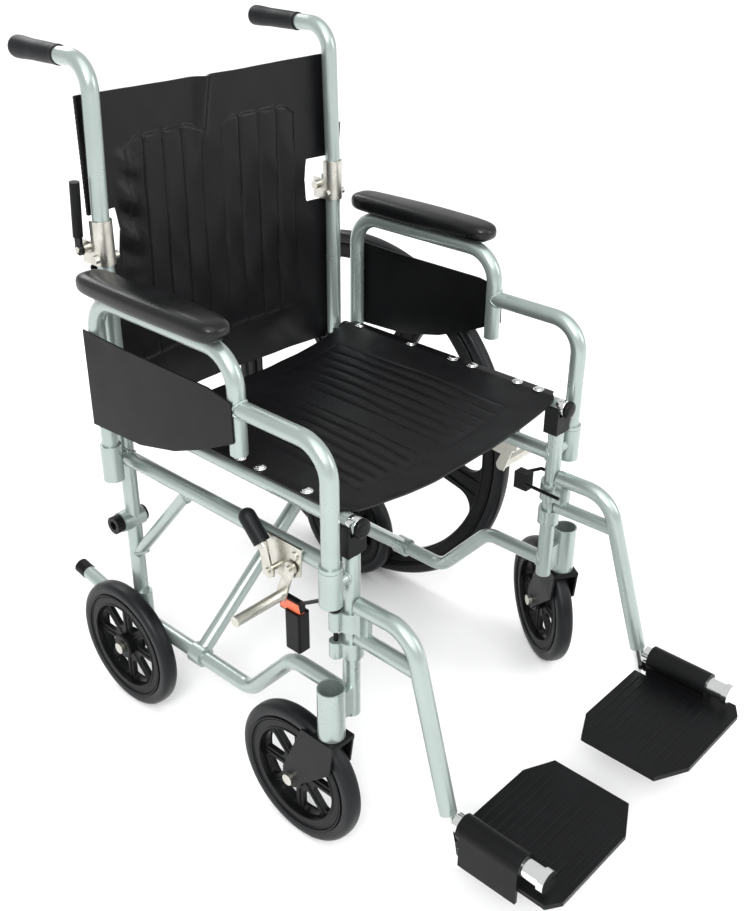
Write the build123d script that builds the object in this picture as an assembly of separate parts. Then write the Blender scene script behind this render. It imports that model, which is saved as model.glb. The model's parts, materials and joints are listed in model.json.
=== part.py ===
from build123d import *
import os
from math import cos, hypot, pi, radians, sin

os.makedirs("parts", exist_ok=True)

# Manual wheelchair. Working frame: floor at Z = 0, the chair faces -Y, X = 0 is the plane
# midway between the side frames, the front uprights stand at Y = 0. side = -1 is the
# occupant's right and side = +1 the left. Before export everything is moved so that the
# origin is at the middle of the chair's footprint, on the floor.

# --- fits ---------------------------------------------------------------------------
run = 0.08            # radial clearance of a turning or sliding fit
gap = 0.3             # clearance of surfaces that rest on each other and part when it folds
bolt_run = 0.06       # radial clearance of a hole on its own bolt

# --- main sizes ---------------------------------------------------------------------
frame_half = 206.0    # centre plane to each side frame
tube_r = 11.0         # 22 mm aluminium tube
rail_r = 10.85        # the side frame's rails, a hair under the uprights
wall = 1.6            # tube wall
upright_gap = 428.0   # front upright to rear upright
lower_rail_z = 130.0
lower_rail_front_z = 228.0
upper_rail_z = 405.0
seat_rail_z = 479.0
front_foot_z = 204.0  # lower end of the front upright
front_top_z = 441.0
rear_foot_z = 84.0
hinge_z = 703.0       # joint of lower and upper canes
handle_z = 928.0
handle_back = 88.0    # straight part of the handle tube behind its bend
tip_rise = (122.0, 147.0)  # tipping lever, from the rear upright to its cap
tip_length = 138.0
frame_bend_r = 38.0

# --- wheels -------------------------------------------------------------------------
caster_r = 100.0
caster_w = 25.0
caster_trail = 57.0
caster_x = 247.0
caster_y = -5.0
caster_turn = {-1: 0.0, 1: 33.0}   # rest swivel angles
stem_tube_r = 17.5
stem_bore_r = 15.5
stem_tube_low = 196.0
stem_tube_top = 268.0
transit_r = 100.0
transit_w = 25.0
transit_x = 236.0
small_axle_r = 5.0
big_r = 305.0
big_w = 25.0
big_x = 277.0
big_axle_r = 6.35
big_y = 431.0
large_spokes = 5
small_spokes = 8

# --- armrests -----------------------------------------------------------------------
arm_x = 241.0
arm_front_y = -1.0
arm_post_y = 146.0
arm_rear_y = 411.0
arm_top_z = 653.0
arm_forward_z = 588.0
arm_stub_z = 528.0
socket_wall = 3.2
front_socket = (386.0, 434.0)
rear_socket = (391.0, 444.0)
pad_size = (54.0, 262.0, 27.0)
pad_y = 288.0
skirt_t = 2.4

# --- footrests ----------------------------------------------------------------------
hanger_top_z = 372.0
hanger_strut_z = 325.0
hanger_bend_y = -94.0
hanger_end = (-163.5, 150.0)       # Y, Z of the tube's cut end
extension_r = 9.4
extension_reach = 70.0             # extension tube below the hanger's end
lug_zones = ((334.0, 361.0), (294.0, 317.0))
lug_r = 15.5
pivot_z = 145.0
pivot_x_out = 7.0                  # footplate pivot outboard of the frame plane
pivot_tube_r = 12.0
pivot_span = (-300.0, -177.0)
roll_r = 16.5
roll_span = (-276.0, -187.0)
plate_top_drop = 22.0
plate_t = 7.0
plate_inboard_x = 30.0
plate_span = (-325.0, -172.0)

# --- folding cross brace -----------------------------------------------------------
brace_y = {-1: 299.0, 1: 273.0}    # plane of the leg whose foot is on that side
brace_r = 11.0
sleeve_wall = 4.0
sleeve_half = 11.5
brace_bolt_r = 5.0
seat_rail_span = (-14.0, 402.0)
seat_screw_y = (35.0, 71.0, 151.0, 187.0, 267.0, 371.0)

# --- sling fabric -------------------------------------------------------------------
sling_t = 3.0
seat_sling_span = (2.0, 398.0)
back_low_span = (502.0, 681.0)
back_high_span = (743.0, 889.0)
cane_lean = 6.0        # the upper canes lean inboard above the hinge
cane_lean_z = 745.0

# --- brake --------------------------------------------------------------------------
brake_pivot = (112.0, 377.0)
brake_shoe_pivot = (84.0, 388.0)
brake_shoe_at = (102.0, 340.0)
brake_plate_t = 3.0
brake_pin_r = 4.0
shoe_bar_r = 7.0
shoe_bar_end = 300.0

pieces = {}


# --- helpers ------------------------------------------------------------------------
def keep(name, *solids):
    """Store one node: a single solid, or a group of separate ones."""
    pieces[name] = solids[0] if len(solids) == 1 else Compound(children=list(solids))


def rod(start, end, radius):
    """Round bar between two points."""
    a, b = Vector(*start), Vector(*end)
    return Solid.make_cylinder(radius, (b - a).length, Plane(origin=a, z_dir=b - a))


def swept(points, bend, radius):
    """Round bar along straight runs joined by tangent arcs."""
    path = FilletPolyline(*points, radius=bend)
    section = Plane(origin=path @ 0, z_dir=path % 0) * Circle(radius)
    return sweep(section, path=path)


def bar(points, bend, radius):
    return rod(*points, radius) if len(points) == 2 else swept(points, bend, radius)


def block(low, high):
    """Box from its lowest to its highest corner, in any order."""
    size = [abs(b - a) for a, b in zip(low, high)]
    middle = [(a + b) / 2 for a, b in zip(low, high)]
    return Pos(*middle) * Box(*size)


def ring(centre, axis, inner, outer, length):
    """Tube piece centred on a point."""
    a = Vector(*axis).normalized()
    start = Vector(*centre) - a * (length / 2)
    end = Vector(*centre) + a * (length / 2)
    body = rod(tuple(start), tuple(end), outer)
    core = rod(tuple(start - a), tuple(end + a), inner)
    return body - core


def plate_yz(points, x, thickness):
    """Flat plate in a plane of constant X, from its outline in Y and Z."""
    outline = Polyline(*[(0, y, z) for y, z in points], close=True)
    face = make_face(outline)
    return Pos(x - thickness / 2, 0, 0) * extrude(face, amount=thickness, dir=(1, 0, 0))


def single(shape):
    """The one solid of a boolean result."""
    solids = shape.solids()
    return max(solids, key=lambda s: s.volume) if len(solids) > 1 else solids[0]


def slope_point(a, b, z):
    """Point of the line through a and b (Y, Z) at a height."""
    t = (z - a[1]) / (b[1] - a[1])
    return a[0] + t * (b[0] - a[0]), z


# --- side frame ---------------------------------------------------------------------
def side_frame(side):
    """Welded side frame: uprights, rails, brace, stem tube, sockets and axle receiver."""
    x = side * frame_half
    back = upright_gap
    step_front, step_back = 104.0, 190.0
    runs = [
        ([(x, 0, front_foot_z), (x, 0, front_top_z)], tube_r),
        ([(x, back, rear_foot_z), (x, back, hinge_z - 1)], tube_r),
        ([(x, 0, upper_rail_z), (x, back, upper_rail_z)], rail_r),
        (
            [
                (x, 0, lower_rail_front_z),
                (x, step_front, lower_rail_front_z),
                (x, step_back, lower_rail_z),
                (x, back, lower_rail_z),
            ],
            rail_r,
        ),
        ([(x, back, tip_rise[0]), (x, back + tip_length, tip_rise[1])], tube_r - 0.5),
        ([(x, back, 243), (x, 292, upper_rail_z)], tube_r - 2.5),
    ]
    stem_at = (side * caster_x, caster_y)
    solid_parts = [bar(points, frame_bend_r, r) for points, r in runs]
    hollow = [bar(points, frame_bend_r, r - wall) for points, r in runs]
    crossings = (
        (frame_half - 13, frame_half + 13, upright_gap, transit_r, 14.0, small_axle_r + 0.05),
        (frame_half - 15, frame_half + 21, big_y, big_r, 15.0, big_axle_r + 0.05),
    )
    for near, far, y, z, outer_r, bore_r in crossings:
        solid_parts.append(rod((side * near, y, z), (side * far, y, z), outer_r))
        hollow.append(rod((side * (near - 2), y, z), (side * (far + 2), y, z), bore_r))
    solid_parts += [
        rod((*stem_at, stem_tube_low), (*stem_at, stem_tube_top), stem_tube_r),
        block((x, -9, front_foot_z + 6), (side * caster_x, 4, stem_tube_top - 18)),
        rod((x, back - 9, 118), (x, back - 9, 184), tube_r - 0.6),
    ]
    hollow.append(rod((*stem_at, stem_tube_low - 1), (*stem_at, stem_tube_top + 1), stem_bore_r))
    bore = tube_r + run
    places = ((arm_front_y, front_socket, 0.0), (arm_rear_y, rear_socket, back))
    for y, (low, top), tube_y in places:
        at = (side * arm_x, y)
        middle = (low + top) / 2
        solid_parts.append(rod((*at, middle), (x, tube_y, middle), 7.0))
        solid_parts.append(rod((*at, low), (*at, top), bore + socket_wall))
        hollow.append(rod((*at, low - 1), (*at, top + 1), bore))
    body = solid_parts[0]
    for piece in solid_parts[1:]:
        body = body.fuse(piece)
    for piece in hollow:
        body = body.cut(piece)
    return single(body)


def saddle(side, y_low, y_high, z_low):
    """Cradle that the seat rail drops into."""
    x = side * frame_half
    body = block((x - 15, y_low, z_low), (x + 15, y_high, seat_rail_z + 2))
    low = seat_rail_z - tube_r - gap
    slot = block((x - 11.5, y_low - 1, low), (x + 11.5, y_high + 1, seat_rail_z + 9))
    return body - slot


def end_plugs(side):
    """Pieces pushed on the frame: rail saddles, tip cap, receiver collars, foot plug."""
    x = side * frame_half
    front = saddle(side, -10.0, 12.0, front_top_z + 0.05)
    peg = rod((x, 0, front_top_z - 17), (x, 0, front_top_z + 3), tube_r - wall - 0.02)
    front = front.fuse(peg)
    back = upright_gap
    rear = saddle(side, back - 30.0, back - 12.0, seat_rail_z - 27)
    hoop = ring((x, back, seat_rail_z - 19.5), (0, 0, 1), tube_r + 0.05, 15.0, 15)
    bore = rod((x, back, 400), (x, back, 500), tube_r + 0.05)
    rear = rear.fuse(hoop).cut(bore)
    rise = (tip_rise[1] - tip_rise[0]) / tip_length
    tip_y, tip_z = back + tip_length + 0.05, tip_rise[1] + 0.02
    tip = rod((x, tip_y, tip_z), (x, tip_y + 20, tip_z + 20 * rise), tube_r + 0.6)
    outer = ring((side * (frame_half + 27.05), big_y, big_r), (1, 0, 0), big_axle_r + 0.05, 13.0, 12)
    inner = ring((side * (frame_half - 17.6), big_y, big_r), (1, 0, 0), big_axle_r + 0.05, 12.0, 5)
    foot = rod((x, 0, front_foot_z - 1.5), (x, 0, front_foot_z + 9), tube_r - wall - 0.02)
    return [single(piece) for piece in (front, rear, tip, outer, inner, foot)]


# --- wheels -------------------------------------------------------------------------
def tyre(centre, radius, inner, width):
    """Tyre with rounded shoulders, its axle along X."""
    middle = (radius + inner) / 2
    profile = Pos(0, middle) * RectangleRounded(width, radius - inner, width * 0.22)
    return Pos(*centre) * revolve(profile, Axis.X)


def wheel_core(rim, hub, bore, width, web, spokes, opening):
    """Moulded wheel: rim, flat web with round-cornered openings between the spokes, hub.

    rim = (outer radius, inner radius), hub = (radius, half length), spokes = (count, width,
    angle of the first), opening = (inner radius, corner radius).
    """
    rim_ring = ring((0, 0, 0), (1, 0, 0), rim[1], rim[0], width)
    disc = ring((0, 0, 0), (1, 0, 0), hub[0] - 2, rim[1] + 1, web)
    barrel = ring((0, 0, 0), (1, 0, 0), bore, hub[0], 2 * hub[1])
    count, spoke_w, phase = spokes
    inner, corner = opening
    outer = rim[1] - 3.0
    step = 2 * pi / count
    body = rim_ring.fuse(disc).fuse(barrel)
    for k in range(count):
        middle = phase + step * (k + 0.5)
        half_in = max(step / 2 - (spoke_w / 2) / inner, 0.06)
        half_out = step / 2 - (spoke_w / 2) / outer
        a = (inner * cos(middle - half_in), inner * sin(middle - half_in))
        b = (outer * cos(middle - half_out), outer * sin(middle - half_out))
        c = (outer * cos(middle + half_out), outer * sin(middle + half_out))
        d = (inner * cos(middle + half_in), inner * sin(middle + half_in))
        crown = (outer * cos(middle), outer * sin(middle))
        edge = Line(a, b) + ThreePointArc(b, crown, c) + Line(c, d) + Line(d, a)
        face = make_face(edge)
        far = face.vertices().sort_by_distance((0, 0, 0))[-2:]
        face = fillet(far, corner)
        near = face.vertices().sort_by_distance((0, 0, 0))[:2]
        face = fillet(near, min(corner, 0.42 * dist(a, d)))
        body = body.cut(Plane.YZ * Pos(0, 0, -web) * extrude(face, amount=2 * web))
    return single(body)


def dist(a, b):
    return hypot(a[0] - b[0], a[1] - b[1])


def small_wheel(name, centre, turn, width, hub_half):
    """Eight-spoke wheel with its solid tyre."""
    rim_r = caster_r - 20.0
    core = wheel_core(
        (rim_r, rim_r - 13.0), (17.0, hub_half), small_axle_r + bolt_run, width - 3, 7.0,
        (small_spokes, 13.0, 0.0), (30.0, 7.0),
    )
    place = Pos(*centre) * Rot(0, 0, -turn)
    keep(f"{name}_wheel", place * core)
    keep(f"{name}_tyre", place * tyre((0, 0, 0), caster_r, rim_r, width))


def caster(side):
    """Swivel fork with its stem, the axle bolt and the wheel."""
    name = "left" if side > 0 else "right"
    turn = caster_turn[side]
    place = Pos(side * caster_x, caster_y, 0) * Rot(0, 0, -turn)
    inside = caster_w / 2 + 4.0
    leg_t = 3.0
    reach = inside + leg_t
    top = stem_tube_low - 0.6
    crown = block((-reach, -20, top - 6), (reach, 8, top))
    lip = block((-reach, 7, top - 2), (reach, 17, top))
    fork = crown.fuse(lip)
    for s in (-1, 1):
        outline = [
            (-20, top),
            (34, top),
            (caster_trail + 13, caster_r + 12),
            (caster_trail + 11, caster_r - 8),
            (caster_trail + 4, caster_r - 13),
            (caster_trail - 6, caster_r - 13),
            (caster_trail - 15, caster_r - 2),
            (-14, top - 46),
        ]
        fork = fork.fuse(plate_yz(outline, s * (inside + leg_t / 2), leg_t))
    fork = fork.fuse(rod((0, 0, top - 1), (0, 0, top + 36), stem_bore_r - run))
    fork = fork.fuse(rod((0, 0, top + 35), (0, 0, top + 44), 9.0))
    hole = rod((-40, caster_trail, caster_r), (40, caster_trail, caster_r), small_axle_r + 0.02)
    keep(f"{name}_caster_fork", place * single(fork.cut(hole)))
    bolt = rod((-reach - 6, caster_trail, caster_r), (reach + 6, caster_trail, caster_r), small_axle_r)
    for s in (-1, 1):
        near = (s * (reach + 0.02), caster_trail, caster_r)
        bolt = bolt.fuse(rod(near, (s * (reach + 6), caster_trail, caster_r), 8.0))
    keep(f"{name}_caster_axle", place * single(bolt))
    middle = place * Pos(0, caster_trail, caster_r)
    small_wheel(f"{name}_caster", tuple(middle.position), turn, caster_w, inside - 0.6)


def transit_wheel(side):
    """Small fixed rear wheel and the bolt that carries it."""
    name = "left" if side > 0 else "right"
    at = (side * transit_x, upright_gap, transit_r)
    hub_half = transit_w / 2 + 2.0
    small_wheel(f"{name}_transit", at, 0.0, transit_w, hub_half)
    frame_in, frame_out = frame_half - 13.05, frame_half + 13.05
    x_in, x_out = frame_half - 20.0, transit_x + hub_half + 0.6

    def turned(a, b, radius):
        return rod((side * a, *at[1:]), (side * b, *at[1:]), radius)

    bolt = turned(x_in, x_out + 6, small_axle_r)
    bolt = bolt.fuse(turned(x_out, x_out + 6, 8.5))
    bolt = bolt.fuse(turned(x_in, frame_in, 8.5))
    bolt = bolt.fuse(turned(frame_out, transit_x - hub_half - 0.4, 8.5))
    keep(f"{name}_transit_axle", single(bolt))


def large_wheel():
    """Quick-release 24 inch wheel on the occupant's left."""
    at = (big_x, big_y, big_r)
    rim_r = big_r - 22.0
    core = wheel_core(
        (rim_r, rim_r - 18.0), (34.0, 24.0), big_axle_r + 0.05, big_w - 3, 9.0,
        (large_spokes, 40.0, radians(-167.0)), (66.0, 30.0),
    )
    keep("large_wheel", Pos(*at) * core)
    keep("large_wheel_tyre", Pos(*at) * tyre((0, 0, 0), big_r, rim_r, big_w))
    hoop_r, hoop_section = rim_r - 22.0, 7.5
    hoop_x = big_w / 2 + 14.0
    hoop = Solid.make_torus(hoop_r, hoop_section, Plane(origin=(hoop_x, 0, 0), z_dir=(1, 0, 0)))
    foot_x = big_w / 2 - 1.45
    foot_r = rim_r - 9.0
    for k in range(large_spokes):
        a = 2 * pi * k / large_spokes + radians(-167.0)
        far = (hoop_x, hoop_r * cos(a), hoop_r * sin(a))
        near = (foot_x + 4, foot_r * cos(a), foot_r * sin(a))
        hoop = hoop.fuse(rod((foot_x, near[1], near[2]), near, 6.0))
        hoop = hoop.fuse(rod((foot_x + 3.8, near[1], near[2]), far, 3.5))
    keep("handrim", Pos(*at) * single(hoop))
    x_in, x_out = frame_half - 22.0, big_x + 24.4
    axle = rod((x_in, *at[1:]), (x_out + 5, *at[1:]), big_axle_r)
    cap = rod((x_out, *at[1:]), (x_out + 5, *at[1:]), 11.0)
    spacer = ring((big_x - 24 - 6.5, *at[1:]), (1, 0, 0), big_axle_r - 0.5, 10.0, 10.0)
    keep("quick_release_axle", single(axle.fuse(cap, spacer)))


# --- armrests -----------------------------------------------------------------------
def armrest(side):
    name = "left" if side > 0 else "right"
    x = side * arm_x
    hoop = [
        (x, arm_rear_y, rear_socket[0] + 4),
        (x, arm_rear_y, arm_top_z),
        (x, arm_post_y, arm_top_z),
        (x, arm_post_y, arm_stub_z),
    ]
    forward = [
        (x, arm_post_y, arm_forward_z),
        (x, arm_front_y, arm_forward_z),
        (x, arm_front_y, front_socket[0] + 4),
    ]
    outer = [swept(hoop, 44, tube_r), swept(forward, 42, tube_r)]
    cores = [swept(hoop, 44, tube_r - wall), swept(forward, 42, tube_r - wall)]
    stop = ring((x, arm_front_y, front_socket[1] + gap + 2.5), (0, 0, 1), tube_r - 1, tube_r + 3, 5)
    keep(f"{name}_armrest_tube", single(outer[0].fuse(outer[1], stop).cut(*cores)))
    w, d, h = pad_size
    pad = Pos(side * (arm_x + 5), pad_y, arm_top_z + tube_r + 0.05 + h / 2) * Box(w, d, h)
    long_edges = pad.edges().filter_by(Axis.Y).sort_by(Axis.Z)[-2:]
    pad = fillet(long_edges, 11)
    ends = pad.edges().filter_by(Axis.Z)
    pad = fillet(ends, 18)
    keep(f"{name}_arm_pad", single(pad))
    face_x = arm_x + tube_r + 0.05 + skirt_t / 2
    outline = [
        (arm_rear_y + 12, 609),
        (338, 606),
        (arm_post_y + 36, 606),
        (arm_post_y - 5, 599),
        (arm_post_y - 6, 548),
        (196, 520),
        (252, 497),
        (322, 480),
        (arm_rear_y + 12, 475),
    ]
    keep(f"{name}_skirt_guard", plate_yz(outline, side * face_x, skirt_t))


# --- footrests ----------------------------------------------------------------------
def footrest(side):
    name = "left" if side > 0 else "right"
    x = side * frame_half
    px = side * (frame_half + pivot_x_out)
    bend = (hanger_bend_y, hanger_top_z)
    top = [(x, -lug_r + 3, hanger_top_z - 1), (x, bend[0], bend[1]), (px, *hanger_end)]
    strut_y, _ = slope_point(bend, hanger_end, hanger_strut_z)
    strut = [(x, -lug_r + 3, hanger_strut_z), (x + side * 1.6, strut_y, hanger_strut_z)]
    lugs, lobes, holes = [], [], []
    pin_at = (x + side * 15.5, 11.0)
    for low, high in lug_zones:
        lugs.append(rod((x, 0, low), (x, 0, high), lug_r))
        lobes.append(rod((*pin_at, low), (*pin_at, high), 8.5))
        lobes.append(block((x, 4, low), (pin_at[0], 17, high)))
    web = block((x - 4, -30, hanger_strut_z - 4), (x + 4, -12.5, hanger_top_z))
    cap = block((x - 9, -22, lug_zones[0][0]), (x + 9, -9, hanger_top_z - 4))
    outer = [swept(top, 46, tube_r), rod(*strut, tube_r - 1)]
    body = outer[0].fuse(outer[1], *lugs, *lobes, web, cap)
    axis_bore = rod((x, 0, lug_zones[1][0] - 5), (x, 0, hanger_top_z + 30), tube_r + run)
    pin_bore = rod((*pin_at, lug_zones[1][0] - 5), (*pin_at, lug_zones[0][1] + 5), 3.0 + bolt_run)
    far = Vector(px, *hanger_end)
    near = Vector(x, *bend)
    along = (far - near).normalized()
    bore = rod(tuple(far - along * 92), tuple(far + along * 3), extension_r + run)
    keep(f"{name}_footrest_hanger", single(body.cut(axis_bore, pin_bore, bore)))
    low_end = far + along * extension_reach
    extension = rod(tuple(far - along * 84), tuple(low_end), extension_r)
    pivot = rod((px, pivot_span[1], pivot_z), (px, pivot_span[0], pivot_z), pivot_tube_r)
    pivot = pivot.fuse(rod((px, -165, pivot_z - 5), (px, pivot_span[1] - 6, pivot_z - 5), 6.4))
    collar = rod((px, pivot_span[0] - 8, pivot_z), (px, pivot_span[0] + 0.5, pivot_z), 14.5)
    keep(f"{name}_footrest_stem", single(extension.fuse(pivot, collar)))
    keep(f"{name}_footplate", footplate(side, px))
    latch(side, pin_at)


def footplate(side, px):
    """Plate with the roll that turns on the pivot tube and an outboard skirt."""
    y_front, y_rear = plate_span
    inner = plate_inboard_x
    outer_x = abs(px) + roll_r
    outline = [
        (inner, y_front + 24),
        (inner + 46, y_front),
        (outer_x - 22, y_front),
        (outer_x - 4, y_front + 12),
        (outer_x - 4, y_rear - 18),
        (abs(px) - 16, y_rear - 18),
        (abs(px) - 16, y_rear),
        (inner + 42, y_rear),
        (inner, y_rear - 20),
    ]
    face = make_face(Polyline(*outline, close=True))
    top = pivot_z - plate_top_drop
    slab = Pos(0, 0, top - plate_t) * extrude(face, amount=plate_t)
    if side < 0:
        slab = mirror(slab, Plane.YZ)
    roll = rod((px, roll_span[0], pivot_z), (px, roll_span[1], pivot_z), roll_r)
    neck = block((px - side * 12, roll_span[0], top - 3), (px + side * 12, roll_span[1], pivot_z - 6))
    skirt_x = px + side * roll_r
    skirt = block((skirt_x, roll_span[0], pivot_z - 47), (skirt_x - side * 4.5, roll_span[1] - 6, pivot_z))
    bore = rod((px, y_front - 5, pivot_z), (px, y_rear + 5, pivot_z), pivot_tube_r + run)
    window = rod((px, pivot_span[0] - 12, pivot_z), (px, roll_span[0] - 0.02, pivot_z), 15.5)
    return single(slab.fuse(roll, neck, skirt).cut(bore, window))


def latch(side, pin_at):
    """Release lever of the swing-away footrest, on its pin through the two lobes."""
    name = "left" if side > 0 else "right"
    z_top = lug_zones[0][1]
    pin = rod((*pin_at, lug_zones[1][0] - 4), (*pin_at, z_top + 6), 3.0)
    head = rod((*pin_at, z_top + 0.3), (*pin_at, z_top + 6), 6.0)
    start = (pin_at[0], pin_at[1], z_top + 3)
    x = side * frame_half
    if side < 0:
        knee = (pin_at[0] + 1, pin_at[1] + 22, z_top + 3)
        end = (x + 5, 92.0, z_top - 42)
        grip = block((x - 5, 86, 248), (x + 15, 112, 306))
        grip = fillet(grip.edges().filter_by(Axis.Z), 3)
        neck = block((x + 1, 88, 300), (x + 9, 126, z_top - 40))
    else:
        knee = (pin_at[0], pin_at[1] + 18, z_top + 3)
        end = (x - 6, 42.0, z_top + 1)
        grip = block((x - 21, 28, z_top - 20), (x - 5, 50, z_top + 6))
        neck = rod((x - 19, -26, z_top - 11), (x - 19, 34, z_top - 9), 2.5)
    arm = rod(start, knee, 2.5).fuse(rod(knee, end, 2.5), Pos(*knee) * Sphere(2.5))
    keep(f"{name}_footrest_latch", single(pin.fuse(head, arm).fuse(neck).fuse(grip)))


# --- cross brace and seat -----------------------------------------------------------
def brace_leg(foot_side):
    """One diagonal of the scissor: sleeve on the lower rail, tube, and the seat rail on top."""
    s = foot_side
    y = brace_y[s]
    foot = Vector(s * frame_half, y, lower_rail_z)
    head = Vector(-s * frame_half, y, seat_rail_z)
    along = (head - foot).normalized()
    sleeve_r = rail_r + run + sleeve_wall
    sleeve = rod((foot.X, y - sleeve_half, foot.Z), (foot.X, y + sleeve_half, foot.Z), sleeve_r)
    leg = rod(tuple(foot + along * 4), tuple(head), brace_r)
    core = rod(tuple(foot + along * 24), tuple(head - along * 16), brace_r - wall)
    rail_points = [(head.X, seat_rail_span[0], head.Z), (head.X, seat_rail_span[1], head.Z)]
    rail = rod(*rail_points, tube_r)
    rail_core = rod(*rail_points, tube_r - wall)
    body = leg.cut(core).fuse(sleeve)
    body = body.fuse(rail).cut(rail_core)
    rail_bore = rod((foot.X, y - 60, foot.Z), (foot.X, y + 60, foot.Z), rail_r + run)
    middle = (foot + head) * 0.5
    boss_r = brace_bolt_r + 7.0
    boss = rod((0, y - brace_r, middle.Z), (0, y + brace_r, middle.Z), boss_r)
    bolt_bore = rod((0, y - 40, middle.Z), (0, y + 40, middle.Z), brace_bolt_r + bolt_run)
    body = body.fuse(boss).cut(rail_bore, bolt_bore)
    screws = [
        rod((head.X, sy, seat_rail_z + 2), (head.X, sy, seat_rail_z + tube_r + 1), 2.6)
        for sy in seat_screw_y
    ]
    return single(body.cut(*screws))


def rail_fittings(side):
    """Row of screws that clamps the sling to one rail, and the plugs in the rail's ends."""
    x = side * frame_half
    top = seat_rail_z + tube_r + sling_t + 0.4
    out = []
    for y in seat_screw_y:
        shank = rod((x, y, seat_rail_z + 3), (x, y, top + 0.1), 2.55)
        head = rod((x, y, top), (x, y, top + 2.4), 5.2)
        out.append(single(shank.fuse(head)))
    for y, way in ((seat_rail_span[0], -1), (seat_rail_span[1], 1)):
        flange = rod((x, y + 0.05 * way, seat_rail_z), (x, y + 3 * way, seat_rail_z), tube_r)
        plug = rod((x, y - 9 * way, seat_rail_z), (x, y + way, seat_rail_z), tube_r - wall - 0.02)
        out.append(single(flange.fuse(plug)))
    return out


def cross_brace():
    for side, name in ((-1, "brace_leg_right_foot"), (1, "brace_leg_left_foot")):
        keep(name, brace_leg(side))
    z = (lower_rail_z + seat_rail_z) / 2
    y_low, y_high = brace_y[1] - brace_r - 0.4, brace_y[-1] + brace_r + 0.05
    shank = rod((0, y_low - 7, z), (0, y_high + 7, z), brace_bolt_r)
    head = rod((0, y_high, z), (0, y_high + 7, z), 9.0)
    nut = rod((0, y_low - 7, z), (0, y_low, z), 9.0)
    middle = (brace_y[-1] + brace_y[1]) / 2
    half = (brace_y[-1] - brace_y[1]) / 2 - brace_r - 0.2
    washer = rod((0, middle - half, z), (0, middle + half, z), 11.0)
    keep("brace_bolt", single(shank.fuse(head, nut, washer)))
    keep("left_seat_rail_fittings", *rail_fittings(1))
    keep("right_seat_rail_fittings", *rail_fittings(-1))
    x = frame_half + 9
    low = seat_rail_z + tube_r + gap
    sling = block((-x, seat_sling_span[0], low), (x, seat_sling_span[1], low + sling_t - 0.2))
    holes = [
        rod((s * frame_half, y, low - 5), (s * frame_half, y, low + 9), 2.9)
        for s in (-1, 1)
        for y in seat_screw_y
    ]
    keep("seat_sling", single(sling.cut(*holes)))


# --- back ---------------------------------------------------------------------------
def cane_x(side, z):
    """Distance of the upper cane's axis from the centre plane at a height."""
    t = max(0.0, (z - cane_lean_z) / (handle_z - cane_lean_z))
    return side * (frame_half - cane_lean * t)


def back(side):
    name = "left" if side > 0 else "right"
    x = side * frame_half
    y = upright_gap
    bend_r = 34.0
    cane_low = hinge_z + 1.0
    grip_x = cane_x(side, handle_z) - side
    end_y = y + bend_r + handle_back + 28
    knee = (x, y, cane_lean_z)
    cane = [knee, (cane_x(side, handle_z), y, handle_z), (grip_x, end_y, handle_z)]
    pivot_at = (y + 19.0, hinge_z)
    ear = block((x - 5, y, cane_low), (x + 5, pivot_at[0], hinge_z + 14))
    ear = ear.fuse(rod((x - 5, *pivot_at), (x + 5, *pivot_at), 7.0))
    body = swept(cane, bend_r, tube_r).fuse(Pos(*knee) * Sphere(tube_r))
    body = body.fuse(rod((x, y, cane_low), knee, tube_r)).fuse(ear)
    core = swept(cane, bend_r, tube_r - wall).fuse(Pos(*knee) * Sphere(tube_r - wall))
    body = body.cut(core).cut(rod((x, y, cane_low - 1), knee, tube_r - wall))
    bore = rod((x - 9, *pivot_at), (x + 9, *pivot_at), 4.0 + bolt_run)
    relief = rod((x, y, hinge_z - 40), (x, y, hinge_z - 0.4), tube_r + 0.6)
    keep(f"{name}_upper_cane", single(body.cut(bore).cut(relief)))
    start_y, stop_y = y + bend_r + 24, end_y + 4
    grip = rod((grip_x, start_y, handle_z), (grip_x, stop_y, handle_z), 14.0)
    grip = grip.cut(swept(cane, bend_r, tube_r + 0.03))
    grip = grip.fuse(rod((grip_x, end_y + 0.1, handle_z), (grip_x, stop_y, handle_z), 13.9))
    keep(f"{name}_grip", single(grip))
    # half-shell bracket that wraps the front of both cane ends and carries the pivot bolt
    low, high = hinge_z - 20.0, hinge_z + 37.0
    shell_in, shell_out = tube_r + 0.35, tube_r + 2.85
    shell = ring((x, y, (low + high) / 2), (0, 0, 1), shell_in, shell_out, high - low)
    shell = shell.cut(block((x - 30, y, low - 1), (x + 30, y + 30, high + 1)))
    for s in (-1, 1):
        near, far = x + s * shell_in, x + s * shell_out
        shell = shell.fuse(block((near, y - 0.5, low), (far, pivot_at[0] + 8, hinge_z + 10)))
        shell = shell.fuse(block((near, y - 0.5, low), (far, y + 6, high)))
        lock = (y - 2, hinge_z - 11)
        shell = shell.fuse(rod((x + s * (shell_in + 1), *lock), (x + s * (shell_out + 4), *lock), 5.5))
        shell = shell.fuse(rod((x + s * shell_out, *pivot_at), (x + s * 20, *pivot_at), 6.5))
    shell = shell.fuse(rod((x - side * 20, *pivot_at), (x + side * 27, *pivot_at), 4.0))
    keep(f"{name}_back_hinge", single(shell))
    # release lever on the outboard end of the pivot bolt
    a, b = x + side * 20.4, x + side * 24.4
    lever = rod((a, *pivot_at), (b, *pivot_at), 8.0)
    lever = lever.fuse(block((a, y + 14, hinge_z), (b, y + 26, hinge_z + 24)))
    knob_x = x + side * 22.4
    knob = rod((knob_x, y + 20, hinge_z + 16), (knob_x, y + 14, hinge_z + 86), 6.5)
    bore = rod((x, *pivot_at), (x + side * 40, *pivot_at), 4.0 + bolt_run)
    keep(f"{name}_back_release", single(lever.fuse(knob).cut(bore)))


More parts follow.
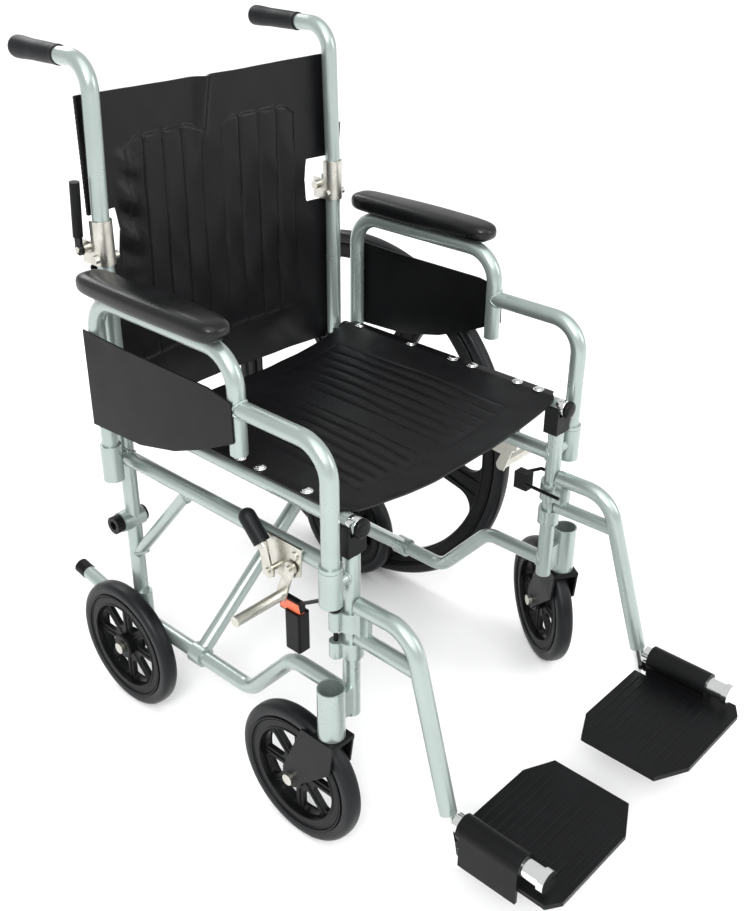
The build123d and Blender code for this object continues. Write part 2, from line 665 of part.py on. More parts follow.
def back_slings():
    """Plain closed solids for the two halves of the back upholstery, behind the canes."""
    front = upright_gap + tube_r + gap
    for name, (low, high) in (("back_sling_lower", back_low_span), ("back_sling_upper", back_high_span)):
        half = frame_half + 12 if name.endswith("lower") else frame_half + 9
        keep(name, block((-half, front, low), (half, front + sling_t, high)))


# --- brake --------------------------------------------------------------------------
def brake(side):
    name = "left" if side > 0 else "right"
    plate_x = side * (frame_half + tube_r + 0.1 + brake_plate_t / 2)
    py, pz = brake_pivot
    sy, sz = brake_shoe_pivot
    outline = [(68, 418), (150, 418), (150, 392), (128, 366), (98, 364), (72, 378)]
    plate = plate_yz(outline, plate_x, brake_plate_t)
    out_x = plate_x + side * brake_plate_t / 2
    pin_end = out_x + side * 18
    plate = plate.fuse(rod((plate_x, py, pz), (pin_end, py, pz), brake_pin_r))
    plate = plate.fuse(rod((plate_x, sy, sz), (pin_end - side * 8, sy, sz), brake_pin_r))
    for y in (80, 142):
        head = (out_x + side * 2.4, y, upper_rail_z)
        plate = plate.fuse(rod((plate_x, y, upper_rail_z), head, 5.5))
    keep(f"{name}_brake_bracket", single(plate))
    lever_x = out_x + side * 14.0
    gy, gz = 118.0, 408.0
    lever_outline = [(py - 9, pz - 6), (py + 8, pz - 9), (gy + 9, gz + 6), (gy - 4, gz + 10)]
    lever = plate_yz(lever_outline, lever_x, 3.0)
    lever = lever.fuse(rod((lever_x - 1.5, py, pz), (lever_x + 1.5, py, pz), 10.0))
    lever_rod = rod((lever_x, gy, gz), (lever_x, gy + 20, gz + 19), 4.5)
    bore = rod((lever_x - 9, py, pz), (lever_x + 9, py, pz), brake_pin_r + bolt_run)
    keep(f"{name}_brake_lever", single(lever.fuse(lever_rod).cut(bore)))
    a, b = Vector(lever_x, gy + 3.5, gz + 5), Vector(lever_x, gy + 28, gz + 31)
    grip = rod(tuple(a), tuple(b), 11.0).fuse(Pos(*b) * Sphere(11.0))
    grip = grip.cut(lever.fuse(rod((lever_x, gy, gz), (lever_x, gy + 20, gz + 19), 4.52)))
    keep(f"{name}_brake_grip", single(grip))
    shoe_x = out_x + side * 4.0
    by, bz = brake_shoe_at
    shoe_outline = [(sy - 8, sz + 2), (sy + 8, sz - 3), (by + 8, bz + 2), (by - 6, bz - 7)]
    arm = plate_yz(shoe_outline, shoe_x, 3.5)
    eye = rod((shoe_x - 1.75, sy, sz), (shoe_x + 1.75, sy, sz), 9.0)
    shoe = rod((shoe_x - side * 1.75, by, bz), (side * shoe_bar_end, by, bz), shoe_bar_r)
    hole = rod((shoe_x - 5, sy, sz), (shoe_x + 5, sy, sz), brake_pin_r + bolt_run)
    keep(f"{name}_brake_shoe", single(arm.fuse(eye, shoe).cut(hole)))


# --- the whole chair ----------------------------------------------------------------
frame_right = side_frame(-1)
keep("right_side_frame", frame_right)
keep("left_side_frame", mirror(frame_right, Plane.YZ))
for side, name in ((-1, "right"), (1, "left")):
    keep(f"{name}_frame_plugs", *end_plugs(side))
    caster(side)
    transit_wheel(side)
    armrest(side)
    footrest(side)
    back(side)
    brake(side)
large_wheel()
cross_brace()
back_slings()

solids = [solid for shape in pieces.values() for solid in shape.solids()]
everything = Compound(solids).bounding_box()
shift = Pos(-everything.center().X, -everything.center().Y, 0)
for name, shape in pieces.items():
    export_step(shift * shape, f"parts/{name}.step")
print("origin moved by", round(-everything.center().X, 4), round(-everything.center().Y, 4))
print("size", [round(v, 3) for v in everything.size])
print(len(pieces), "nodes")
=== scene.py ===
"""Looks of a folding manual wheelchair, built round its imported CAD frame."""

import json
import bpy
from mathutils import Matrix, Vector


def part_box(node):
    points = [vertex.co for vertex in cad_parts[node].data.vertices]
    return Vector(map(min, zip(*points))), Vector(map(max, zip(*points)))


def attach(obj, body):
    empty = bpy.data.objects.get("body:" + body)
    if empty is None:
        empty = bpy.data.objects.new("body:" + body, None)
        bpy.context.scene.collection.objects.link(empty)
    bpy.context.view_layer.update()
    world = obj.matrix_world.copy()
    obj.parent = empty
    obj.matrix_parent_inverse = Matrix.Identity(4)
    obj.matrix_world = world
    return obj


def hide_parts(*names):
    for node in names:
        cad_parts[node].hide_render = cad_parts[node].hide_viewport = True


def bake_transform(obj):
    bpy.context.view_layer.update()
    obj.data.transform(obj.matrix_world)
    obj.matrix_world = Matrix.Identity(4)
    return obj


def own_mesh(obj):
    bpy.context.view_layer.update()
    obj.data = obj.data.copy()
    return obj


bl_info = {
    "name": "Folding wheelchair",
    "version": (1, 0, 0),
    "blender": (4, 5, 0),
    "location": "3D View > Sidebar > Wheelchair",
    "description": "Upholstery, tyres, grips, welds and finishes for a folding wheelchair frame",
    "category": "Object",
}

from math import cos, pi, radians, sin

import bmesh
import bpy
import numpy as np
from mathutils import Matrix, Vector

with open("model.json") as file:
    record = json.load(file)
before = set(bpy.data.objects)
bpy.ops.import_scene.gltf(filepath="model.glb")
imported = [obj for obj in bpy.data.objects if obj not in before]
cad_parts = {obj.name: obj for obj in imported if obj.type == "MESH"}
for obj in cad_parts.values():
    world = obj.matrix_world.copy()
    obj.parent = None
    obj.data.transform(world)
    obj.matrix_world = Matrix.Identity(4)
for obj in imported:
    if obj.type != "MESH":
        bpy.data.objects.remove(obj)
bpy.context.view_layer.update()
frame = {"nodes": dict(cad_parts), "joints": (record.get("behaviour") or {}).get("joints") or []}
joint_place = {j["name"]: Vector(j["pos_m"]) for j in frame["joints"] if "pos_m" in j}
MM = 0.001
SIDES = ((-1, "right"), (1, "left"))
right_upright = joint_place["right_hanger_swing"]
left_upright = joint_place["left_hanger_swing"]
ORIGIN = Vector(((right_upright.x + left_upright.x) / 2, right_upright.y, 0))
HALF = (left_upright.x - right_upright.x) / 2 / MM     # centre plane to a side frame
BACK = (joint_place["right_transit_spin"].y - ORIGIN.y) / MM   # front to rear upright
TUBE = 11.0                 # radius of the frame tube
RAIL = 10.8                 # radius of a rail at its weld
BRACE = 8.5                 # radius of the diagonal brace
LUG = 7.0                   # radius of the lugs of the armrest sockets
UPPER_RAIL = 405            # heights of the side frame's rails
FRONT_RAIL = 228
REAR_RAIL = 130
SEAT_RAIL = 479.0
PLATE_TOP = 123.0
SMALL_WHEEL = (100.0, 79.6, 24.8)       # tyre's outer radius, its seat's radius and its width
LARGE_WHEEL = (305.0, 282.6, 24.8)
FIRST_SPOKE = -167          # degrees, first spoke of the large wheel
SEAT_SCREWS = (35, 71, 151, 187, 267, 371)
COVER_REACH = {"lower": 11.5, "upper": 8.5}     # how far the back stands outboard of the canes


# --- sizes and colours a user would change ---------------------------------------------
def length(name, value, text):
    return bpy.props.FloatProperty(
        name=name, default=value, description=text, subtype="DISTANCE", unit="LENGTH"
    )


def shade(name, value, text):
    return bpy.props.FloatVectorProperty(
        name=name, default=value, description=text, subtype="COLOR", size=3, min=0, max=1
    )


class ChairSizes(bpy.types.PropertyGroup):
    seat_sag: length("Seat sag", 0.024, "How far the seat dips between its rails")
    back_bow: length("Back bow", 0.016, "How far the back bows behind the canes")
    channel_pitch: length("Channel pitch", 0.0215, "Distance between two sewn channels")
    back_pitch: length("Back channel pitch", 0.033, "Distance between two sewn channels of the back")
    channel_depth: length("Channel depth", 0.0022, "Depth of a sewn channel")
    weld_radius: length("Weld radius", 0.0019, "Thickness of a weld bead")
    vinyl_thickness: length("Vinyl thickness", 0.0026, "Thickness of the upholstery")


class ChairColours(bpy.types.PropertyGroup):
    paint: shade("Frame paint", (0.345, 0.405, 0.385), "Silver-green metallic paint of the frame")
    vinyl: shade("Vinyl", (0.0032, 0.0032, 0.0038), "Seat and back upholstery")
    plastic: shade("Plastic", (0.0036, 0.0038, 0.0042), "Moulded plastic pieces")
    rubber: shade("Rubber", (0.0045, 0.005, 0.006), "Tyres and grips")
    tab: shade("Latch tab", (0.85, 0.17, 0.08), "Coloured tab of the footrest latch")


def sizes():
    return bpy.context.scene.chair_sizes


def colours():
    return bpy.context.scene.chair_colours


# --- surfaces --------------------------------------------------------------------------
def to_row(points):
    """Millimetres from the front uprights' mid-plane on the floor to metres in the row frame."""
    return np.asarray(points, float) * MM + np.array(ORIGIN)


def skin(name, grid, closed_u=False, closed_v=True, caps=False):
    """Mesh from a grid of points, grid[i, j]: quads between neighbours, wrapped where closed.

    caps puts a fan from each end row to that row's mean point, so that a tube is shut.
    """
    grid = np.asarray(grid, float)
    n, m = grid.shape[:2]
    index = np.arange(n * m).reshape(n, m)
    rows = np.vstack([index, index[:1]]) if closed_u else index
    both = np.hstack([rows, rows[:, :1]]) if closed_v else rows
    quads = np.stack([both[:-1, :-1], both[:-1, 1:], both[1:, 1:], both[1:, :-1]], -1).reshape(-1, 4)
    points = to_row(grid.reshape(-1, 3))
    faces = quads.tolist()
    if caps:
        ends = to_row(np.stack([grid[0].mean(0), grid[-1].mean(0)]))
        points = np.vstack([points, ends])
        first, last = n * m, n * m + 1
        a, b = both[0], both[-1]
        faces += np.stack([a[1:], a[:-1], np.full(len(a) - 1, first)], -1).tolist()
        faces += np.stack([b[:-1], b[1:], np.full(len(b) - 1, last)], -1).tolist()
    mesh = bpy.data.meshes.new(name)
    mesh.from_pydata(points.tolist(), [], faces)
    mesh.polygons.foreach_set("use_smooth", np.ones(len(mesh.polygons), bool))
    mesh.update()
    obj = bpy.data.objects.new(name, mesh)
    bpy.context.scene.collection.objects.link(obj)
    return obj


def outward(obj):
    """Turns every face of a closed mesh to the outside."""
    work = bmesh.new()
    work.from_mesh(obj.data)
    bmesh.ops.remove_doubles(work, verts=work.verts, dist=1e-6)
    bmesh.ops.recalc_face_normals(work, faces=work.faces)
    work.to_mesh(obj.data)
    work.free()
    return obj


def join(name, pieces):
    """One object from several meshes."""
    with bpy.context.temp_override(
        active_object=pieces[0], object=pieces[0], selected_objects=pieces, selected_editable_objects=pieces
    ):
        bpy.ops.object.join()
    pieces[0].name = name
    pieces[0].data.name = name
    return pieces[0]


def basis(direction):
    """Two unit vectors square to a direction, as rows."""
    d = np.asarray(direction, float)
    d = d / np.linalg.norm(d)
    side = np.cross(d, [0, 0, 1] if abs(d[2]) < 0.9 else [1, 0, 0])
    side = side / np.linalg.norm(side)
    return side, np.cross(d, side), d


def turned(name, start, direction, profile, steps=48):
    """Profile (distance along, radius) carried round an axis: p = start + a*d + r*(cos t, sin t)."""
    side, up, d = basis(direction)
    profile = np.asarray(profile, float)
    t = np.linspace(0, 2 * pi, steps, endpoint=False)
    wheel = np.cos(t)[:, None] * side + np.sin(t)[:, None] * up
    grid = np.asarray(start) + profile[:, None, :1] * d + profile[:, None, 1:] * wheel[None]
    return outward(skin(name, grid, caps=True))


def hoop(name, centre, axis, section, steps=128):
    """Closed section (along axis, radius) carried round an axis into a ring."""
    side, up, d = basis(axis)
    section = np.asarray(section, float)
    t = np.linspace(0, 2 * pi, steps, endpoint=False)
    wheel = np.cos(t)[:, None] * side + np.sin(t)[:, None] * up
    grid = np.asarray(centre) + section[None, :, :1] * d + section[None, :, 1:] * wheel[:, None]
    return outward(skin(name, grid, closed_u=True))


def bead(name, path, radius, closed=False, steps=10):
    """Round section carried along a path, its radius a number or one value for each point."""
    path = np.asarray(path, float)
    ahead = np.roll(path, -1, 0) - np.roll(path, 1, 0) if closed else np.gradient(path, axis=0)
    ahead /= np.linalg.norm(ahead, axis=1, keepdims=True)
    ref = np.where(np.abs(ahead[:, 2:]) < 0.95, [[0.0, 0.0, 1.0]], [[1.0, 0.0, 0.0]])
    side = np.cross(ahead, ref)
    side /= np.linalg.norm(side, axis=1, keepdims=True)
    up = np.cross(ahead, side)
    t = np.linspace(0, 2 * pi, steps, endpoint=False)
    radius = np.broadcast_to(np.asarray(radius, float), len(path))[:, None, None]
    ring = np.cos(t)[None, :, None] * side[:, None] + np.sin(t)[None, :, None] * up[:, None]
    return outward(skin(name, path[:, None] + radius * ring, closed_u=closed, caps=not closed))


def smoothstep(x, low, high):
    t = np.clip((x - low) / (high - low), 0, 1)
    return t * t * (3 - 2 * t)


def dressed(obj, body, slot, finish, *nodes):
    """Gives a piece its finish and its body and hides the CAD nodes it stands for; the slot argument is not
    used.
    """
    obj.data.materials.clear()
    obj.data.materials.append(finish)
    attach(obj, body)
    if nodes:
        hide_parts(*nodes)
    return obj


# --- finishes --------------------------------------------------------------------------
def group(name, inputs, outputs):
    """Empty shader node group with float or colour sockets."""
    tree = bpy.data.node_groups.new(name, "ShaderNodeTree")
    for key, value in inputs.items():
        kind = "NodeSocketColor" if isinstance(value, tuple) else "NodeSocketFloat"
        tree.interface.new_socket(name=key, in_out="INPUT", socket_type=kind).default_value = value
    for key, kind in outputs.items():
        tree.interface.new_socket(name=key, in_out="OUTPUT", socket_type=kind)
    return tree, tree.nodes.new("NodeGroupInput"), tree.nodes.new("NodeGroupOutput")


def wear_group():
    """Slow cloudy change of colour and gloss: one noise over Object coordinates mixes two colours."""
    tree, inp, out = group(
        "chair_wear",
        {
            "Base": (0.5, 0.5, 0.5, 1),
            "Worn": (0.4, 0.4, 0.4, 1),
            "Scale": 14.0,
            "Amount": 0.5,
            "Gloss": 0.3,
            "Change": 0.1,
        },
        {"Color": "NodeSocketColor", "Roughness": "NodeSocketFloat"},
    )
    nodes, links = tree.nodes, tree.links
    where = nodes.new("ShaderNodeTexCoord")
    coarse = nodes.new("ShaderNodeTexNoise")
    coarse.inputs["Detail"].default_value = 6
    coarse.inputs["Roughness"].default_value = 0.62
    ramp = nodes.new("ShaderNodeMapRange")
    ramp.inputs["From Min"].default_value = 0.38
    ramp.inputs["From Max"].default_value = 0.72
    mask = nodes.new("ShaderNodeMath")
    mask.operation = "MULTIPLY"
    mix = nodes.new("ShaderNodeMix")
    mix.data_type = "RGBA"
    gloss = nodes.new("ShaderNodeMath")
    gloss.operation = "MULTIPLY_ADD"
    links.new(where.outputs["Object"], coarse.inputs["Vector"])
    links.new(inp.outputs["Scale"], coarse.inputs["Scale"])
    links.new(coarse.outputs["Fac"], ramp.inputs["Value"])
    links.new(ramp.outputs["Result"], mask.inputs[0])
    links.new(inp.outputs["Amount"], mask.inputs[1])
    links.new(mask.outputs[0], mix.inputs["Factor"])
    links.new(inp.outputs["Base"], mix.inputs["A"])
    links.new(inp.outputs["Worn"], mix.inputs["B"])
    links.new(ramp.outputs["Result"], gloss.inputs[0])
    links.new(inp.outputs["Change"], gloss.inputs[1])
    links.new(inp.outputs["Gloss"], gloss.inputs[2])
    links.new(mix.outputs["Result"], out.inputs["Color"])
    links.new(gloss.outputs[0], out.inputs["Roughness"])
    return tree


def grain_group():
    """Height of a pebbled skin: cell distance plus fine noise over Object coordinates."""
    tree, inp, out = group("chair_grain", {"Scale": 900.0, "Fine": 0.3}, {"Height": "NodeSocketFloat"})
    nodes, links = tree.nodes, tree.links
    where = nodes.new("ShaderNodeTexCoord")
    cells = nodes.new("ShaderNodeTexVoronoi")
    cells.feature = "SMOOTH_F1"
    noise = nodes.new("ShaderNodeTexNoise")
    noise.inputs["Detail"].default_value = 4
    add = nodes.new("ShaderNodeMath")
    add.operation = "MULTIPLY_ADD"
    links.new(where.outputs["Object"], cells.inputs["Vector"])
    links.new(where.outputs["Object"], noise.inputs["Vector"])
    links.new(inp.outputs["Scale"], cells.inputs["Scale"])
    links.new(inp.outputs["Scale"], noise.inputs["Scale"])
    links.new(noise.outputs["Fac"], add.inputs[0])
    links.new(inp.outputs["Fine"], add.inputs[1])
    links.new(cells.outputs["Distance"], add.inputs[2])
    links.new(add.outputs[0], out.inputs["Height"])
    return tree


def finish_of(name, base, worn, rough, change, metallic=0.0, coat=0.0, coat_rough=0.1, wear_scale=14.0,
              amount=0.6, grain_scale=900.0, fine=0.3, depth=0.00003, specular=0.5, soften=0.0):
    """One material: wear colours and gloss, a pebbled or orange-peel bump, softened edges."""
    if name in bpy.data.materials:
        return bpy.data.materials[name]
    mat = bpy.data.materials.new(name)
    mat.use_nodes = True
    nodes, links = mat.node_tree.nodes, mat.node_tree.links
    shader = nodes["Principled BSDF"]
    shader.inputs["Metallic"].default_value = metallic
    shader.inputs["Coat Weight"].default_value = coat
    shader.inputs["Coat Roughness"].default_value = coat_rough
    shader.inputs["Specular IOR Level"].default_value = specular
    wear = nodes.new("ShaderNodeGroup")
    wear.node_tree = bpy.data.node_groups.get("chair_wear") or wear_group()
    wear.inputs["Base"].default_value = (*base, 1)
    wear.inputs["Worn"].default_value = (*worn, 1)
    wear.inputs["Scale"].default_value = wear_scale
    wear.inputs["Amount"].default_value = amount
    wear.inputs["Gloss"].default_value = rough
    wear.inputs["Change"].default_value = change
    grain = nodes.new("ShaderNodeGroup")
    grain.node_tree = bpy.data.node_groups.get("chair_grain") or grain_group()
    grain.inputs["Scale"].default_value = grain_scale
    grain.inputs["Fine"].default_value = fine
    bump = nodes.new("ShaderNodeBump")
    bump.inputs["Strength"].default_value = 1.0
    bump.inputs["Distance"].default_value = depth
    links.new(wear.outputs["Color"], shader.inputs["Base Color"])
    links.new(wear.outputs["Roughness"], shader.inputs["Roughness"])
    links.new(grain.outputs["Height"], bump.inputs["Height"])
    if soften:
        edge = nodes.new("ShaderNodeBevel")
        edge.samples = 4
        edge.inputs["Radius"].default_value = soften
        links.new(edge.outputs["Normal"], bump.inputs["Normal"])
    links.new(bump.outputs["Normal"], shader.inputs["Normal"])
    return mat


def tint(colour, factor):
    return tuple(min(1.0, c * factor) for c in colour)


def frame_paint():
    c = tuple(colours().paint)
    return finish_of("silver_green_paint", c, tint(c, 0.86), 0.27, 0.10, metallic=0.62, coat=0.55,
                     coat_rough=0.12, wear_scale=9, grain_scale=1400, depth=0.00002)


def weld_paint():
    c = tuple(colours().paint)
    return finish_of("painted_weld", c, tint(c, 0.7), 0.30, 0.15, metallic=0.62, coat=0.4, wear_scale=220,
                     grain_scale=900, depth=0.00008)


def vinyl():
    c = tuple(colours().vinyl)
    return finish_of("black_vinyl", c, tint(c, 1.9), 0.34, 0.16, wear_scale=7, amount=0.6, grain_scale=620,
                     fine=0.5, depth=0.00009, coat=0.04, coat_rough=0.2, specular=0.2)


def plastic():
    c = tuple(colours().plastic)
    return finish_of("moulded_black", c, tint(c, 1.8), 0.36, 0.14, wear_scale=20, grain_scale=1500,
                     depth=0.00004, specular=0.15, soften=0.0008)


def foam_skin():
    c = tuple(colours().plastic)
    return finish_of("arm_pad_skin", c, tint(c, 2.0), 0.27, 0.12, wear_scale=16, grain_scale=800, fine=0.5,
                     depth=0.00006, coat=0.12, coat_rough=0.16, specular=0.25)


def tyre_rubber():
    c = tuple(colours().rubber)
    return finish_of("tyre_rubber", c, tint(c, 2.2), 0.33, 0.2, wear_scale=18, grain_scale=1100,
                     depth=0.00005, specular=0.22)


def grip_rubber():
    c = tuple(colours().rubber)
    return finish_of("grip_rubber", c, tint(c, 1.7), 0.42, 0.12, wear_scale=30, grain_scale=1500, fine=0.6,
                     depth=0.00009, specular=0.18)


def zinc():
    return finish_of("zinc_plate", (0.58, 0.57, 0.52), (0.40, 0.38, 0.32), 0.26, 0.2, metallic=1.0,
                     wear_scale=45, grain_scale=1300, depth=0.00003, soften=0.0006)


def chrome():
    return finish_of("bright_chrome", (0.80, 0.82, 0.81), (0.62, 0.64, 0.62), 0.07, 0.10, metallic=1.0,
                     wear_scale=30, grain_scale=1200, depth=0.000004)


def tab_plastic():
    c = tuple(colours().tab)
    return finish_of("latch_tab", c, tint(c, 0.75), 0.35, 0.15, wear_scale=60, grain_scale=1200,
                     depth=0.00004)


# the first key found in a node's name gives its finish; every other node is moulded plastic
NODE_FINISH = {
    "side_frame": frame_paint, "armrest_tube": frame_paint, "upper_cane": frame_paint,
    "footrest_hanger": frame_paint, "brace_leg": frame_paint, "footrest_stem": chrome,
    "brake_bracket": zinc, "brake_lever": zinc, "brake_shoe": zinc, "transit_axle": zinc,
    "caster_axle": zinc, "back_hinge": zinc, "brace_bolt": zinc, "quick_release": zinc,
    "seat_rail_fittings": zinc, "grip": grip_rubber, "tyre": tyre_rubber,
}


class CHAIR_OT_finishes(bpy.types.Operator):
    """Puts a procedural finish on every CAD node"""
    bl_idname = "chair.finishes"
    bl_label = "Finishes"

    def execute(self, context):
        for name, node in frame["nodes"].items():
            made = next((f for key, f in NODE_FINISH.items() if key in name), plastic)
            for k in range(max(1, len(node.data.materials))):
                if k < len(node.data.materials):
                    node.data.materials[k] = made()
                else:
                    node.data.materials.append(made())
        return {"FINISHED"}


# --- upholstery ------------------------------------------------------------------------
def channels(x, inner, outer, pitch, depth):
    """Sewn channels across x: narrow grooves every pitch between inner and outer, puffed between."""
    a = np.abs(x)
    inside = smoothstep(a, inner - 3, inner + 3) * (1 - smoothstep(a, outer - 3, outer + 3))
    phase = (a - inner) / pitch
    groove = np.exp(-(((phase - np.round(phase)) * pitch) / 1.7) ** 2)
    return inside, inside * (0.45 * np.abs(np.sin(pi * phase)) - groove) * depth


def creases(a, b, strength):
    """Low waves of a few fixed lengths and directions, like settled vinyl."""
    return strength * (
        np.sin(a * 0.031 + b * 0.017 + 0.6)
        + 0.6 * np.sin(a * 0.052 - b * 0.043 + 2.1)
        + 0.35 * np.sin(a * 0.11 + b * 0.087 + 4.0)
    )


def thicken(obj, thickness):
    """Gives an open sheet its thickness, half each side, and makes it final."""
    solid = obj.modifiers.new("thickness", "SOLIDIFY")
    solid.thickness = thickness
    solid.offset = 0
    with bpy.context.temp_override(object=obj, active_object=obj, selected_objects=[obj]):
        bpy.ops.object.modifier_apply(modifier=solid.name)
    outward(obj).data.set_sharp_from_angle(angle=radians(45))
    return obj


class CHAIR_OT_seat(bpy.types.Operator):
    """Seat sling between the two seat rails, with its sag, hems and sewn channels"""
    bl_idname = "chair.seat"
    bl_label = "Seat sling"

    def execute(self, context):
        low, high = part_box("seat_sling")
        front, rear = (low.y - ORIGIN.y) / MM, (high.y - ORIGIN.y) / MM
        top = high.z / MM
        size = sizes()
        # s runs from the right rail to the left and v from front to rear; the height is the rail's
        # top less sag*(1 - x^2)^0.85, deepest at the ends, plus channels, hems and low waves
        s = np.linspace(-1, 1, 211)
        v = np.linspace(0, 1, 101)
        S, V = np.meshgrid(s, v)
        edge = HALF + 9.5
        x = edge * S
        # rounded front and rear corners: the cut draws in near the rails
        draw = 14 * smoothstep(np.abs(S), 0.86, 1.0) ** 2
        y = front + draw + V * (rear - front - 1.6 * draw)
        between = np.clip(1 - (x / (HALF - 4)) ** 2, 0, 1)
        sag = size.seat_sag / MM * between**0.85 * (0.62 + 0.38 * (2 * V - 1) ** 2)
        inside, groove = channels(x, 20, 149, size.channel_pitch / MM, size.channel_depth / MM)
        length_mask = smoothstep(V, 0.10, 0.16) * (1 - smoothstep(V, 0.86, 0.92))
        seam = np.exp(-((V - 0.11) / 0.006) ** 2) + np.exp(-((V - 0.91) / 0.006) ** 2)
        hem = np.exp(-((V - 0.035) / 0.004) ** 2) + np.exp(-((V - 0.965) / 0.004) ** 2)
        z = top - 1.3 - sag + groove * length_mask - 1.2 * inside * seam - 0.7 * hem
        z += creases(x, y, 0.75) * between**0.5
        z += 1.6 * np.exp(-V / 0.014) * between
        sheet = thicken(skin("seat_cover", np.stack([x, y, z], -1), closed_v=False),
                        size.vinyl_thickness)
        sheet.data.materials.append(vinyl())
        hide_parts("seat_sling")
        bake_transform(sheet)
        return {"FINISHED"}


def back_panel(name, low, high, cut_low, cut_high):
    """Back upholstery between two heights: bowed sheet with two channelled panels.

    Depth y = behind the canes + bow*(1 - u^2); near the canes the edge steps to cut heights.
    """
    size = sizes()
    u = np.linspace(-1, 1, 231)
    w = np.linspace(0, 1, 91)
    U, W = np.meshgrid(u, w)
    half = HALF + COVER_REACH[name.rsplit("_", 1)[1]]
    x = half * U
    step = smoothstep(np.abs(x), 166, 169)
    bottom = low + (cut_low - low) * step
    top = high + (cut_high - high) * step
    z = bottom + W * (top - bottom)
    top_edge = smoothstep(z, 700, 888)
    z = z - 5 * top_edge * (1 - U**2) * smoothstep(z, 850, 888)
    inside, groove = channels(x, 17, 149, size.back_pitch / MM, size.channel_depth / MM)
    arch = 826 - 10 * smoothstep(np.abs(np.abs(x) - 83), 44, 66)
    tall = smoothstep(z, 522, 530) * (1 - smoothstep(z, arch - 4, arch + 4))
    border = np.exp(-((z - arch) / 1.8) ** 2) + np.exp(-((z - 524) / 1.8) ** 2)
    bow = size.back_bow / MM * np.clip(1 - U**2, 0, 1) ** 0.8
    y = BACK + TUBE + 2.2 + bow
    y -= groove * tall + 2.2 * inside * tall - 1.1 * inside * border
    fold = np.exp(-(((x + 26) - 0.16 * (z - 760)) / 9) ** 2) * smoothstep(z, 740, 870)
    y -= 9.0 * fold * np.clip(1 - U**2, 0, 1)
    pull = np.exp(-((x + 148) / 17) ** 2) * smoothstep(z, 640, 700) * (1 - smoothstep(z, 770, 830))
    y -= 6.5 * pull * (1 + 0.6 * np.sin(z / 8.0 + x / 14.0))
    y += creases(x, z, 1.1) * np.clip(1 - U**2, 0, 1) ** 0.4
    sheet = skin(name, np.stack([x, y, z], -1), closed_v=False)
    return thicken(sheet, size.vinyl_thickness)


def edge_roll(name, side, low, high, reach):
    """Rolled side edge of the back: a long slim bead with small swells at its stitches."""
    z = np.linspace(low + 1, high - 1, 90)
    path = np.stack([np.full_like(z, side * reach), np.full_like(z, BACK + TUBE + 2.8), z], -1)
    radius = 2.0 + 0.18 * np.sin(z * 1.05)
    return bead(name, path, radius)


class CHAIR_OT_back(bpy.types.Operator):
    """Back upholstery behind the canes, split where the canes fold"""
    bl_idname = "chair.back"
    bl_label = "Back upholstery"

    def execute(self, context):
        halves = (
            ("lower", 457.0, 715.0, 457.0, 681.0, "right_frame"),
            ("upper", 714.6, 889.0, 744.0, 889.0, "right_back"),
        )
        for name, low, high, cut_low, cut_high, body in halves:
            panel = back_panel(f"back_cover_{name}", low, high, cut_low, cut_high)
            dressed(panel, body, "vinyl", vinyl(), f"back_sling_{name}")
            reach = HALF + COVER_REACH[name]
            rolls = [edge_roll(f"roll_{name}_{s}", s, cut_low, cut_high, reach) for s in (-1, 1)]
            roll = join(f"back_edge_{name}", rolls)
            dressed(roll, body, "vinyl", vinyl())
            for piece in (panel, roll):
                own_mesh(piece)
        return {"FINISHED"}


class CHAIR_OT_arm_pads(bpy.types.Operator):
    """Moulded foam arm pads"""
    bl_idname = "chair.arm_pads"
    bl_label = "Arm pads"

    def execute(self, context):
        for _, name in SIDES:
            low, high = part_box(f"{name}_arm_pad")
            box_low, box_high = (low - ORIGIN) / MM, (high - ORIGIN) / MM
            centre = (box_low + box_high) / 2
            half = (box_high - box_low) / 2
            # superellipse sections along y, drawn in to a blunt end by (1 - |t|^12)^0.46;
            # the upper half is rounder than the lower one
            t = np.sin(np.linspace(-pi / 2, pi / 2, 61))
            a = np.linspace(0, 2 * pi, 56, endpoint=False)
            T, A = np.meshgrid(t, a, indexing="ij")
            round_end = np.clip(1 - np.abs(T) ** 12, 0, 1) ** 0.46
            wide = half.x * round_end * (0.93 + 0.07 * np.cos(pi * T * 0.9))
            tall = half.z * np.clip(1 - np.abs(T) ** 16, 0, 1) ** 0.5
            c, s = np.cos(A), np.sin(A)
            x = centre.x + wide * np.sign(c) * np.abs(c) ** 0.62
            z_up = tall * np.abs(s) ** 0.78 * (1 + 0.04 * np.cos(pi * T))
            z_down = -tall * np.abs(s) ** 0.55
            z = centre.z + np.where(s > 0, z_up, z_down) - 1.2 * smoothstep(-T, 0.55, 1.0)
            y = centre.y + half.y * T
            pad = outward(skin(f"{name}_arm_cushion", np.stack([x, y, z], -1), caps=True))
            dressed(pad, f"{name}_armrest", "pad_foam", foam_skin(), f"{name}_arm_pad")
        return {"FINISHED"}


